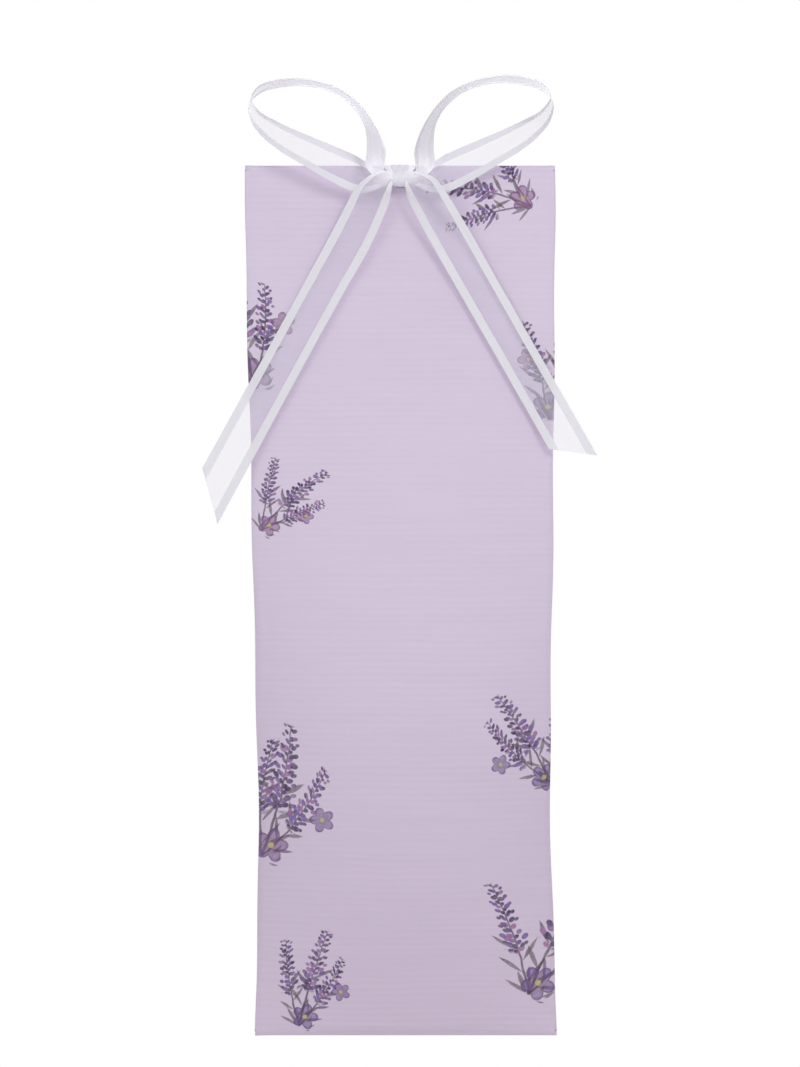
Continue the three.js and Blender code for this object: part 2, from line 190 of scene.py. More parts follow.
def dents(x, z):
    """How far the front panel stands back from the plain belly, in small dents and creases."""
    ripples = np.random.default_rng(7)
    total = 0
    for _ in range(RIPPLES):
        turn, wave, phase = ripples.uniform(0, math.pi), ripples.uniform(16, 45), ripples.uniform(0, 6.3)
        across = x * math.cos(turn) + z * math.sin(turn)
        total = total + RIPPLE_HEIGHT * np.sin(across * 2 * math.pi / wave + phase)
    for cx, cz, long, wide, angle, depth in DENTS:
        c, s = math.cos(math.radians(angle)), math.sin(math.radians(angle))
        a, b = (x - cx) * c + (z - cz) * s, (z - cz) * c - (x - cx) * s
        total = total + depth * np.exp(-((a / long) ** 2) - (b / wide) ** 2)
    return total * smooth(down_share(z), 0.05, 0.16) * (1 - smooth(down_share(z), 0.95, 1))


def bulge(x, z):
    across = np.minimum(1, np.abs(x) / half_width(z))
    return BELLY_DEPTH * belly_share(z) * (1 - across**BELLY_FLATNESS)


def front_face(x, z):
    """y of the middle of the front panel's paper. The tight ribbon draws it forward round the hole."""
    edge_fade = 1 - smooth(np.abs(x) / half_width(z), 0.93, 1)
    drawn = DRAWN_FORWARD * np.exp(-((x / 7.5) ** 2) - ((z + 2.5) / 7) ** 2) * (1 - smooth(z, 0.2, 3))
    return FRONT_Y - bulge(x, z) + dents(x, z) * edge_fade - drawn


def ribbon_dip(x, z):
    """How far the ribbon that goes over the top edge has pressed it down."""
    return PRESSED_DOWN * np.exp(-((x / 5) ** 4)) * smooth(z, 0.5, TOP_Z)


def lean(z):
    return LEAN * down_share(z)


def flap_y(x, side_edge, to_end):
    """y of a flap at its fold and beyond. Its side edges and its end lie close on the back, the rest on the glue."""
    seam_edge = -SEAM_LAP / 2
    rests_on = OUTER_BACK_Y * float(smooth(x, *(seam_edge - gap for gap in SETTLES_AT_SEAM)))
    to_side = smooth(abs(x), *(side_edge - gap for gap in SETTLES_AT_SIDE))
    close = float(max(to_side, 1 - smooth(to_end, *SETTLES_AT_END)))
    return lerp(FLAP_Y, rests_on + PAPER + SNUG, close)


# Meshes
def make_object(name, points, faces):
    mesh = bpy.data.meshes.new(name)
    mesh.from_pydata((np.asarray(points, float) * MM).tolist(), [], faces)
    mesh.validate()
    obj = bpy.data.objects.new(name, mesh)
    scene.collection.objects.link(obj)
    mesh.polygons.foreach_set("use_smooth", [True] * len(mesh.polygons))
    mesh.set_sharp_from_angle(angle=math.radians(50))
    return obj


def corner_numbers(mesh):
    """The number of the point at each corner of each face."""
    numbers = np.zeros(len(mesh.loops), int)
    mesh.loops.foreach_get("vertex_index", numbers)
    return numbers


def spaced(start, end, coarse=STEP):
    """Places from start to end, close together near zero, where the hole is."""
    places = [start]
    way = 1 if end > start else -1
    while way * (end - places[-1]) > 1e-6:
        step = FINE_STEP if abs(places[-1] + way * FINE_STEP / 2) < NEAR_HOLE else coarse
        places.append(places[-1] + way * min(step, way * (end - places[-1])))
    if len(places) > 2 and abs(places[-1] - places[-2]) < FINE_STEP / 2:
        places.pop(-2)
    return np.array(places)


def paper_rows():
    """Rows of the paper from the top flap's end, over both folds, to the bottom flap's end.

    A row is its kind, its angle round a fold and its z, then its distance to the flap's end, or in the tube how far
    its end is tucked into a fold."""
    top, bottom = TOP_FOLD_Z - FOLD_EDGE_GAP, BOTTOM_FOLD_Z + FOLD_EDGE_GAP
    top_end = TOP_FOLD_Z + FOLD_RADIUS + PAPER / 2 - TOP_FLAP
    bottom_end = BOTTOM_FOLD_Z - FOLD_RADIUS - PAPER / 2 + BOTTOM_FLAP
    turn = np.linspace(0, math.pi, FOLD_PLACES)
    rows = [("flap", 0, z, z - top_end) for z in spaced(top_end, TOP_FOLD_Z)[:-1]]
    rows += [("flap", angle, TOP_FOLD_Z + FOLD_RADIUS * math.sin(angle), TOP_FLAP) for angle in turn]
    rows += [("body", 0, z, TUCK * (z == top) - TUCK * (z == bottom)) for z in spaced(top, bottom)]
    rows += [("flap", angle, BOTTOM_FOLD_Z - FOLD_RADIUS * math.sin(angle), BOTTOM_FLAP) for angle in turn[::-1]]
    rows += [("flap", 0, z, bottom_end - z) for z in spaced(BOTTOM_FOLD_Z, bottom_end)[1:]]
    return rows


def envelope_paper():
    rows = paper_rows()
    seam_half = SEAM_LAP / 2
    plain_half = TOP_WIDTH / 2
    inner_radius, outer_radius = LAYER_PITCH / 2, LAYER_PITCH
    turn = np.linspace(0, math.pi, SIDE_PLACES)[:-1]
    columns = [("inner", x) for x in spaced(seam_half, -plain_half, BACK_STEP)[:-1]]
    columns += [("left", angle) for angle in turn]
    columns += [("front", x) for x in spaced(-plain_half, plain_half)]
    columns += [("right", angle) for angle in turn[1:]]
    columns += [("outer", x) for x in spaced(plain_half, -seam_half, BACK_STEP)]

    points, sheet_places = [], []
    for kind, angle, z, more in rows:
        half = half_width(z) - PAPER / 2
        cut = FLAP_CORNER * (1 - smooth(more, 0, FLAP_CORNER))
        left = -half + inner_radius + edge_waver(z, -1)
        right = half - outer_radius + edge_waver(z, 1)
        for place, value in columns:
            if place == "inner":
                x = value
                if x < -seam_half:
                    x = lerp(-seam_half, left, (-seam_half - x) / (plain_half - seam_half))
                px, py, s, into = x, 0.0, 2 * left - x, 1
            elif place == "left":
                into = (1 + math.cos(value)) / 2
                px, py = left - inner_radius * math.sin(value), FRONT_Y / 2 + inner_radius * math.cos(value)
                s = left - inner_radius * (math.pi - value)
            elif place == "front":
                far_left, far_right = (left, right) if kind == "body" else (cut - half, half - cut)
                x = value * far_right / plain_half if value > 0 else value * far_left / -plain_half
                px, s, into = x, x, 0
                if kind == "body":
                    py = float(front_face(x, z))
                else:
                    py = lerp(FRONT_Y, flap_y(x, half - cut, more), (1 + math.cos(angle)) / 2)
            elif place == "right":
                into = (1 - math.cos(value)) / 2
                px, py = right + outer_radius * math.sin(value), -outer_radius * math.cos(value)
                s = right + outer_radius * value
            else:
                x = value
                if x > seam_half:
                    x = lerp(seam_half, right, (x - seam_half) / (plain_half - seam_half))
                px, py, s, into = x, OUTER_BACK_Y, 2 * right - x, 1
            if kind == "flap" and angle < 1:
                s += OFF_THE_PRINT  # a flap's outer side isn't printed
            rise = into * more if kind == "body" else 0
            points.append((px + lean(z), py, z + rise - ribbon_dip(px, z)))
            sheet_places.append((s, z))
    points, sheet_places = np.array(points), np.array(sheet_places)

    width = len(columns)
    is_front = [place == "front" for place, _ in columns]
    faces = []
    for i in range(len(rows) - 1):
        for j in range(width - 1):
            both_body = rows[i][0] == "body" and rows[i + 1][0] == "body"
            if both_body or (is_front[j] and is_front[j + 1]):
                faces.append((i * width + j, (i + 1) * width + j, (i + 1) * width + j + 1, i * width + j + 1))
    faces = np.array(faces)

    # The punched hole: cells inside it go, and what is left of their corners moves on to its rim
    middles = points[faces].mean(1)
    inside = np.hypot(middles[:, 0], middles[:, 2]) < HOLE_RADIUS
    rim = np.intersect1d(faces[inside], faces[~inside])
    out = np.hypot(points[rim, 0], points[rim, 2])
    points[rim, 0] *= HOLE_RADIUS / out
    points[rim, 2] *= HOLE_RADIUS / out
    faces = faces[~inside]
    used, numbers = np.unique(faces, return_inverse=True)
    faces = numbers.reshape(faces.shape)
    obj = make_object("envelope_paper", points[used], faces.tolist())
    lay_print(obj, sheet_places[used])
    wall = obj.modifiers.new("wall", "SOLIDIFY")
    wall.thickness = PAPER * MM
    wall.offset = 0
    wall.use_even_offset = True
    return obj


# The printed sprays: where each one is, in the flat blank's own places
# (across, up, lean of the spray from upright in degrees, length, number that varies it)
SPRAYS = (
    (-37, -52, -14, 33, 1),
    (33, -6, -68, 26, 5),
    (37, -60, 20, 30, 4),
    (-35.5, -88, 34, 22, 3),
    (-36, -170, 20, 34, 7),
    (37.5, -152, -30, 27, 10),
    (-27, -213, 12, 26, 9),
    (31, -205, 18, 35, 11),
)
TWIGS = ((-27, 0.86), (2, 1), (30, 0.8))  # lean and length of a spray's twigs
BLOSSOMS = ((0.04, 0.1, 0.13), (0.33, 0.42, 0.095))  # across, up and radius, as shares of the length
SPRAY_HEART = 0.45  # how far up a spray its middle is, and how far the spray reaches from there, as shares too
SPRAY_REACH = 0.78
FAR = 9.0  # a place outside every drawing


def lay_print(obj, places):
    """Gives each corner of the paper its place in the nearest spray's own drawing."""
    mesh = obj.data
    face_of_corner = np.repeat(np.arange(len(mesh.polygons)), [p.loop_total for p in mesh.polygons])
    flat = places[corner_numbers(mesh)]
    middles = np.stack([np.bincount(face_of_corner, flat[:, i]) / np.bincount(face_of_corner) for i in (0, 1)], 1)
    layers = {f"twig_{k}": np.full((len(flat), 3), FAR) for k in range(len(TWIGS))}
    layers |= {f"blossom_{k}": np.full((len(flat), 3), FAR) for k in range(len(BLOSSOMS))}
    for across, up, tilt, length, number in SPRAYS:
        t = math.radians(tilt)
        heart = np.array([across, up]) + SPRAY_HEART * length * np.array([math.sin(t), math.cos(t)])
        near = (np.linalg.norm(middles - heart, axis=1) < SPRAY_REACH * length)[face_of_corner]
        d = (flat - (across, up)) / length

        def turned(angle):
            c, s = math.cos(angle), math.sin(angle)
            return d[:, 0] * c - d[:, 1] * s, d[:, 0] * s + d[:, 1] * c

        for k, (spread, share) in enumerate(TWIGS):
            u, v = turned(t + math.radians(spread))
            seed = np.full(len(u), number + 0.31 * k)
            layers[f"twig_{k}"][near] = np.stack([u / share, v / share, seed], 1)[near]
        u, v = turned(t)
        for k, (side, rise, radius) in enumerate(BLOSSOMS):
            side = side if number % 2 else -side
            seed = np.full(len(u), number + 0.17 * k)
            layers[f"blossom_{k}"][near] = np.stack([(u - side) / radius, (v - rise) / radius, seed], 1)[near]
    for name, values in layers.items():
        attribute = mesh.attributes.new(name, "FLOAT_VECTOR", "CORNER")
        attribute.data.foreach_set("vector", values.astype(np.float32).ravel())


# Shader nodes
def put(tree, value, place):
    """Sets an input to a number or colour, or links it to the Sum or socket that gives it."""
    value = value.socket if isinstance(value, Sum) else value
    if isinstance(value, bpy.types.NodeSocket):
        tree.links.new(value, place)
    else:
        place.default_value = value


class Sum:
    """A number in a node tree, so that sums can be written out plainly."""

    def __init__(self, tree, socket):
        self.tree, self.socket = tree, socket

    def math(self, operation, *others, clamp=False):
        node = self.tree.nodes.new("ShaderNodeMath")
        node.operation, node.use_clamp = operation, clamp
        for place, value in zip(node.inputs, (self, *others)):
            put(self.tree, value, place)
        return Sum(self.tree, node.outputs[0])

    def __add__(self, other):
        return self.math("ADD", other)

    def __sub__(self, other):
        return self.math("SUBTRACT", other)

    def __mul__(self, other):
        return self.math("MULTIPLY", other)

    def __truediv__(self, other):
        return self.math("DIVIDE", other)

    def flip(self):
        """1 less this."""
        return self * -1 + 1

    def size(self):
        return self.math("ABSOLUTE")

    def cell(self):
        return self.math("FLOOR")

    def part(self):
        return self.math("FRACT")

    def most(self, other):
        return self.math("MAXIMUM", other)

    def least(self, other):
        return self.math("MINIMUM", other)

    def rise(self, start, end):
        """0 before start, 1 after end, smooth between. A start above the end makes it fall."""
        node = self.tree.nodes.new("ShaderNodeMapRange")
        node.interpolation_type = "SMOOTHSTEP"
        values = (self, start, end, 0, 1) if start <= end else (self, end, start, 1, 0)
        for place, value in zip(node.inputs, values):
            put(self.tree, value, place)
        return Sum(self.tree, node.outputs[0])

    def under(self, limit, soft):
        """1 where this is well under the limit, 0 where it is over."""
        gap = self - limit
        return gap.rise(soft, -soft)


class Drawing:
    """A node tree with short names for the nodes used here."""

    def __init__(self, tree):
        self.tree = tree

    def put(self, value, place):
        put(self.tree, value, place)

    def new(self, kind, values=None, **settings):
        node = self.tree.nodes.new(kind)
        for key, value in settings.items():
            setattr(node, key, value)
        for key, value in (values or {}).items():
            self.put(value, node.inputs[key])
        return node

    def sum(self, socket):
        return Sum(self.tree, socket)

    def attribute(self, name, output="Vector"):
        return self.new("ShaderNodeAttribute", attribute_name=name).outputs[output]

    def axes(self, vector):
        split = self.new("ShaderNodeSeparateXYZ", {"Vector": vector})
        return [self.sum(x) for x in split.outputs]

    def chance(self, *seeds):
        """A number from 0 to 1 that depends on the seeds alone."""
        node = self.new("ShaderNodeCombineXYZ", dict(zip("XYZ", seeds)))
        return self.sum(self.new("ShaderNodeTexWhiteNoise", {"Vector": node.outputs[0]}).outputs["Value"])

    def noise(self, vector, scale, detail=3.0, roughness=0.55, stretch=None):
        if stretch:
            vector = self.new("ShaderNodeMapping", {"Vector": vector, "Scale": stretch}).outputs[0]
        values = {"Vector": vector, "Scale": scale, "Detail": detail, "Roughness": roughness}
        return self.sum(self.new("ShaderNodeTexNoise", values).outputs["Fac"])

    def mix(self, factor, first, second):
        """The first colour where the factor is 0, the second where it is 1."""
        node = self.new("ShaderNodeMix", data_type="RGBA")
        for place, value in zip((node.inputs["Factor"], node.inputs[6], node.inputs[7]), (factor, first, second)):
            self.put(value, place)
        return node.outputs[2]

    def shade(self, color, amount):
        """The colour made lighter or darker by the amount, a Sum."""
        node = self.new("ShaderNodeMix", data_type="RGBA", blend_type="MULTIPLY")
        node.inputs["Factor"].default_value = 1
        grey = self.new("ShaderNodeCombineColor", {"Red": amount, "Green": amount, "Blue": amount}).outputs[0]
        self.put(color, node.inputs[6])
        self.put(grey, node.inputs[7])
        return node.outputs[2]

    def bump(self, shader, height, strength, distance):
        """Raises the surface by the height, a Sum. The distance is in metres."""
        values = {"Height": height, "Strength": strength, "Distance": distance}
        self.put(self.new("ShaderNodeBump", values).outputs[0], shader.inputs["Normal"])

    def seen_directly(self):
        """1 for rays from the camera, from gloss and through glass, 0 for the light that falls on the object."""
        path = self.new("ShaderNodeLightPath")
        seen = self.sum(path.outputs["Is Camera Ray"]).most(self.sum(path.outputs["Is Glossy Ray"]))
        return seen.most(self.sum(path.outputs["Is Transmission Ray"]))


def rgb(red, green, blue):
    """A shader colour from sRGB steps of 0 to 255."""
    steps = [x / 255 for x in (red, green, blue)]
    return (*[x / 12.92 if x <= 0.04045 else ((x + 0.055) / 1.055) ** 2.4 for x in steps], 1)


def new_material(name):
    material = bpy.data.materials.new(name)
    material.use_nodes = True
    tree = material.node_tree
    return material, Drawing(tree), tree.nodes["Principled BSDF"]


def drawing_group(name):
    """A node group that draws something: a place goes in, ink and its colour come out."""
    tree = bpy.data.node_groups.new(name, "ShaderNodeTree")
    tree.interface.new_socket("Place", in_out="INPUT", socket_type="NodeSocketVector")
    tree.interface.new_socket("Ink", in_out="OUTPUT", socket_type="NodeSocketFloat")
    tree.interface.new_socket("Color", in_out="OUTPUT", socket_type="NodeSocketColor")
    given, result = tree.nodes.new("NodeGroupInput"), tree.nodes.new("NodeGroupOutput")
    return Drawing(tree), given.outputs["Place"], result.inputs


# The print's inks
PLUM, VIOLET, MAUVE = rgb(66, 44, 84), rgb(112, 82, 152), rgb(164, 108, 152)
OLIVE, BARK, STAMEN = rgb(104, 96, 94), rgb(78, 62, 76), rgb(186, 172, 120)

# On a twig, as shares of its length
LEAF_PITCH = 0.19
LEAVES_END = 0.62
# The three rows of buds on each side: how far out, pitch, radius and where they start
BUD_ROWS = ((0.02, 0.05, 0.028, 0.36), (0.05, 0.06, 0.029, 0.38), (0.08, 0.072, 0.025, 0.42))


def twig_drawing():
    """A bent twig with almond leaves low down and small round buds above. Up is 0 at its foot and 1 at its tip."""
    d, given, result = drawing_group("twig")
    u, v, seed = d.axes(given)
    seed = (seed * 100 + 0.5).cell()
    wobble = d.noise(given, 7.0, 2.0) - 0.5
    bend = (d.chance(seed, 3.0, 1.0) - 0.5) * 0.5
    u = u - bend * v * v + wobble * 0.035
    right = u.rise(-0.0005, 0.0005)
    out = u.size()
    on_twig = v.rise(-0.01, 0.01) * v.rise(1.0, 0.97)
    stem = out.under(v * -0.007 + 0.0115, 0.004) * on_twig

    # Leaves, one in each cell of the twig's length, on either side in turn
    row = (v + right * (LEAF_PITCH / 2)) / LEAF_PITCH
    luck = d.chance(row.cell(), right, seed)
    up = row.part() * LEAF_PITCH
    along = out * 0.72 + up * 0.69 - 0.012
    across = (up * 0.72 - out * 0.69).size()
    long = luck * 0.08 + 0.17
    share = along / long
    belly = share * share.flip() * 4.0
    leaf = across.under(belly * 0.016, 0.003) * along.rise(0.0, 0.01) * along.under(long, 0.005)
    leaf = leaf * v.under(LEAVES_END, 0.02) * v.rise(0.0, 0.03) * luck.rise(0.12, 0.13)
    vein = across.under(0.003, 0.003)

    buds, tone, shadow = None, None, None
    for far, pitch, size, low in BUD_ROWS:
        row = (v + right * (pitch / 2)) / pitch
        which = row.cell()
        luck = d.chance(which, right, seed + far)
        shift = d.chance(which, right, seed + 2 * far)
        narrow = (v - low) / (1 - low)
        place = (narrow * -0.5 + 1.12) * far + (shift - 0.5) * 0.016
        du = out - place
        dv = (row.part() - 0.5) * pitch + (luck - 0.5) * 0.016 - du * 0.35
        gap = (du * du + dv * dv * 1.9).math("SQRT")
        radius = (luck * 0.45 + 0.72) * size * (narrow * -0.45 + 1.1)
        bud = gap.under(radius, 0.0045) * v.rise(low - 0.02, low + 0.02) * v.under(0.985, 0.01)
        bud = bud * luck.rise(0.08, 0.09)
        if buds is None:
            buds, tone, shadow = bud, shift, gap / radius
        else:
            tone = tone * bud.flip() + shift * bud
            shadow = shadow * bud.flip() + (gap / radius) * bud
            buds = buds.most(bud)
    petal = d.mix(tone.rise(0.2, 0.75), PLUM, VIOLET)
    petal = d.mix(tone.rise(0.72, 1.0) * 0.8, petal, MAUVE)
    petal = d.shade(petal, shadow * -0.3 + 1.18)
    green = d.mix(luck.rise(0.3, 0.9), OLIVE, BARK)
    green = d.mix(vein * 0.5, green, BARK)
    d.put((stem * 0.85).most(leaf * 0.78).most(buds * 0.95), result["Ink"])
    d.put(d.mix(buds, d.mix(leaf, BARK, green), petal), result["Color"])
    return d.tree


def blossom_drawing():
    """A small open flower of five rounded petals. Its radius is 1."""
    d, given, result = drawing_group("blossom")
    u, v, seed = d.axes(given)
    seed = (seed * 100 + 0.5).cell()
    luck = d.chance(seed, 1.0, 2.0)
    distance = (u * u + v * v).math("SQRT")
    angle = v.math("ARCTAN2", u) + luck * (2 * math.pi)
    lobe = (angle * 2.5).math("COSINE").size()
    wobble = d.noise(given, 2.5, 2.0) - 0.5
    edge = lobe * 0.4 + 0.6 + wobble * 0.12
    petals = distance.under(edge, 0.035)
    line = (distance / edge).rise(0.72, 1.0)
    cleft = lobe.rise(0.28, 0.05) * distance.rise(0.15, 0.5)
    heart = distance.under(0.17, 0.04)
    fill = d.mix(distance.rise(0.15, 0.85), PLUM, VIOLET)
    fill = d.mix(luck.rise(0.3, 0.8) * 0.6, fill, MAUVE)
    fill = d.mix(line * 0.55, fill, PLUM)
    fill = d.mix(cleft * 0.6, fill, PLUM)
    d.put((petals * (line * 0.25 + 0.68)).most(heart), result["Ink"])
    d.put(d.mix(heart, fill, STAMEN), result["Color"])
    return d.tree


# The paper's looks, in metres
LAID_PITCH = 0.00165  # from one laid line to the next
PAPER_PAINTED_LIT_ABOVE, PAPER_PAINTED_SHADED_BELOW = (0.705, 0.612, 0.765, 1), (0.635, 0.53, 0.672, 1)
PAINTED_SHADE_STARTS, PAINTED_SHADE_ENDS = -0.06, -0.215  # where down the sheet the painted shade starts and ends: the paper is coloured darker below, where less light falls


def paper_material():
    material, d, shader = new_material("laid_paper")
    where = d.new("ShaderNodeTexCoord").outputs["Object"]
    _, _, z = d.axes(where)
    fibres = d.noise(where, 900.0, 3.0, 0.6, stretch=(1, 1, 2.2)) - 0.5
    clouds = d.noise(where, 26.0, 4.0, 0.6) - 0.5
    grain = d.noise(where, 220.0, 2.0, 0.5, stretch=(0.16, 0.16, 1.5)) - 0.5
    # Laid lines, uneven in strength
    drift = d.noise(where, 40.0, 2.0) - 0.5
    lines = ((z * (1 / LAID_PITCH) + drift * 0.9) * (2 * math.pi)).math("SINE")
    strength = d.noise(where, 90.0, 2.0, 0.5, stretch=(0.35, 0.35, 1.6)).rise(0.3, 0.7)
    lines = lines * (strength * 0.75 + 0.25)
    tone = lines * 0.014 + grain * 0.06 + clouds * 0.035 + fibres * 0.03 + 1.0
    # Painted shade: the paper's colour turns darker down the sheet, standing in for the light falling off towards
    # the bottom
    color = d.mix(z.rise(PAINTED_SHADE_STARTS, PAINTED_SHADE_ENDS), PAPER_PAINTED_LIT_ABOVE, PAPER_PAINTED_SHADED_BELOW)
    # Edges and folds are a little worn and lighter
    bend = d.sum(d.new("ShaderNodeNewGeometry").outputs["Pointiness"])
    color = d.mix(bend.rise(0.53, 0.62) * 0.35, color, rgb(226, 216, 232))
    color = d.shade(color, tone)
    mottle = (d.noise(where, 420.0, 3.0, 0.65) - 0.5) * 0.55 + (d.noise(where, 1500.0, 2.0) - 0.5) * 0.5
    inked = None
    for kind, tree, count in (("twig", twig_drawing(), len(TWIGS)), ("blossom", blossom_drawing(), len(BLOSSOMS))):
        for k in range(count):
            drawn = d.new("ShaderNodeGroup", node_tree=tree)
            d.put(d.attribute(f"{kind}_{k}"), drawn.inputs["Place"])
            ink = (d.sum(drawn.outputs["Ink"]) * (mottle + 0.92)).math("MAXIMUM", 0.0, clamp=True)
            color = d.mix(ink, color, d.shade(drawn.outputs["Color"], mottle * 0.5 + 1.0))
            inked = ink if inked is None else inked.most(ink)
    d.put(color, shader.inputs["Base Color"])
    d.put(fibres * 0.2 + 0.62 - inked * 0.08, shader.inputs["Roughness"])
    shader.inputs["Specular IOR Level"].default_value = 0.3
    shader.inputs["Sheen Weight"].default_value = 0.08
    d.bump(shader, lines * 0.5 + fibres * 0.6 + grain * 0.8, 0.35, 0.00012)
    return material


# The ribbon's looks
THREADS = 56  # across its width
WEB_COVER, SATIN_COVER = 0.2, 0.82  # how much of what is behind each part hides
# Partly the ribbon's own white and partly a painted lavender tint, standing in for light from the paper that comes
# through the threads
WEB_COLOR, SATIN_COLOR = (0.79, 0.75, 0.855, 1), (0.865, 0.848, 0.905, 1)


def organza_material():
    """Sheer plain weave with a satin band along each edge. The UV map is in widths of the ribbon."""
    material, d, shader = new_material("organza")
    uv = d.new("ShaderNodeUVMap", uv_map="ribbon").outputs["UV"]
    u, v, _ = d.axes(uv)
    from_edge = (u - 0.5).size() * -1 + 0.5
    satin = from_edge.under(SATIN / RIBBON, 0.006)
    warp = (u * (THREADS * math.pi)).math("SINE").size()
    weft = (v * (THREADS * math.pi)).math("SINE").size()
    crossing = warp.most(weft)
    slub = d.noise(uv, 3.2, 4.0, 0.65, stretch=(1, 5, 1)) - 0.5
    web = slub * 0.035 + crossing * 0.01 + WEB_COVER
    picot = (v * (2 * THREADS * math.pi)).math("SINE") * 0.5 + 0.5
    cover = web * satin.flip() + satin * SATIN_COVER
    # Where the ribbon is drawn together, its threads lie closer, hide more and look whiter
    packed = ((d.sum(d.attribute("gather", "Fac")) - 1) * 1.6).least(1.0)
    cover = cover.flip().math("POWER", d.sum(d.attribute("dense", "Fac"))).flip()
    white = satin.most(packed)
    # Thin cloth scatters light on through itself, so its shadow is lighter than the cloth is dense
    shadow = d.sum(d.new("ShaderNodeLightPath").outputs["Is Shadow Ray"])
    d.put(cover * (shadow * (white * 0.3 - 0.75) + 1), shader.inputs["Alpha"])
    streak = d.noise(uv, 9.0, 3.0, 0.6, stretch=(9, 0.5, 1))
    grain = d.noise(uv, 38.0, 2.0, 0.6) - 0.5
    tone = (streak - 0.5) * 0.05 + grain * satin * 0.16 + packed * 0.14 + 1.0
    d.put(d.shade(d.mix(white, WEB_COLOR, SATIN_COLOR), tone), shader.inputs["Base Color"])
    d.put(satin * -0.12 + (streak - 0.5) * 0.12 + 0.52, shader.inputs["Roughness"])
    shader.inputs["Specular IOR Level"].default_value = 0.07
    height = crossing * satin.flip() * 0.15 + satin * (picot * 0.25 + streak * 0.5)
    d.bump(shader, height, 0.15, 0.0001)
    return material


def glue_material():
    material, d, shader = new_material("dried_glue")
    where = d.new("ShaderNodeTexCoord").outputs["Object"]
    beads = d.noise(where, 260.0, 3.0)
    d.put(d.mix(beads.rise(0.3, 0.7), rgb(226, 218, 194), rgb(205, 194, 164)), shader.inputs["Base Color"])
    d.put((beads - 0.5) * 0.3 + 0.35, shader.inputs["Roughness"])
    d.bump(shader, beads, 0.4, 0.0002)
    return material


def granule_material():
    material, d, shader = new_material("granules")
    where = d.new("ShaderNodeTexCoord").outputs["Object"]
    cells = d.new("ShaderNodeTexVoronoi", {"Vector": where, "Scale": 520.0})
    tint, _, _ = d.axes(cells.outputs["Color"])
    color = d.mix(tint.rise(0.1, 0.9), rgb(196, 174, 146), rgb(146, 118, 92))
    # Painted shade: the gaps between the grains are coloured dark brown
    gap = d.sum(cells.outputs["Distance"]).rise(0.3, 0.62)
    d.put(d.mix(gap * 0.7, color, rgb(92, 74, 60)), shader.inputs["Base Color"])
    d.put((tint - 0.5) * 0.2 + 0.85, shader.inputs["Roughness"])
    d.bump(shader, gap.flip(), 0.8, 0.0008)
    return material


# Ribbon
HALF_ACROSS = np.array([0, 0.02, 0.06, 0.11, 0.16, 0.2, 0.225, 0.26, 0.32, 0.38, 0.44, 0.5])
ACROSS = np.concatenate([HALF_ACROSS, 1 - HALF_ACROSS[-2::-1]])  # places from edge to edge
ARCH_MOST = 2.4  # half the angle of the tightest roll
ARCH_EASE = 17  # rows over which a roll eases in or out
SEEN_FROM_Y, SEEN_FROM_Z = -824, -88.8  # where the edges below were seen from, as they were measured


def in_place(points):
    """Where measured points really are: those in front of the paper look larger than they are."""
    away = 1 + points[:, 1:2] / -SEEN_FROM_Y
    middle = np.array([0, 0, SEEN_FROM_Z])
    flat = np.array([1, 0, 1])
    return points * (1 - flat) + (middle + (points - middle) * away) * flat


def arch_angle(share):
    """Half the angle of an arc whose chord is this share of its length."""
    angles = np.linspace(0.001, ARCH_MOST, 240)
    return np.interp(share, (np.sin(angles) / angles)[::-1], angles[::-1])


def arched(near, far, forward, limit):
    """A ribbon between two edges, which bows forward where they are closer than its width, up to a limit.

    Gives its points, and how many times closer than flat its threads lie on each row."""
    across = far - near
    chord = np.linalg.norm(across, axis=1)
    unit = across / chord[:, None]
    way = forward - unit * (unit @ np.asarray(forward, float))[:, None]
    way /= np.linalg.norm(way, axis=1)[:, None]
    angle = np.minimum(arch_angle(chord / RIBBON), 2 * np.arctan(2 * limit / chord))
    ease = np.hanning(ARCH_EASE + 2)[1:-1]
    angle = np.convolve(np.pad(angle, ARCH_EASE // 2, mode="edge"), ease / ease.sum(), "valid")
    turn = (2 * ACROSS - 1)[None] * angle[:, None]
    share = (1 + np.sin(turn) / np.sin(angle)[:, None]) / 2
    rise = (np.cos(turn) - np.cos(angle)[:, None]) * (chord / 2 / np.sin(angle))[:, None]
    points = near[:, None] + across[:, None] * share[..., None] + way[:, None] * rise[..., None]
    return points, np.maximum(RIBBON * np.sin(angle) / angle / chord, 1)


def normals_of(grid):
    n = np.cross(np.gradient(grid, axis=0), np.gradient(grid, axis=1))
    return n / np.maximum(np.linalg.norm(n, axis=2, keepdims=True), 1e-9)


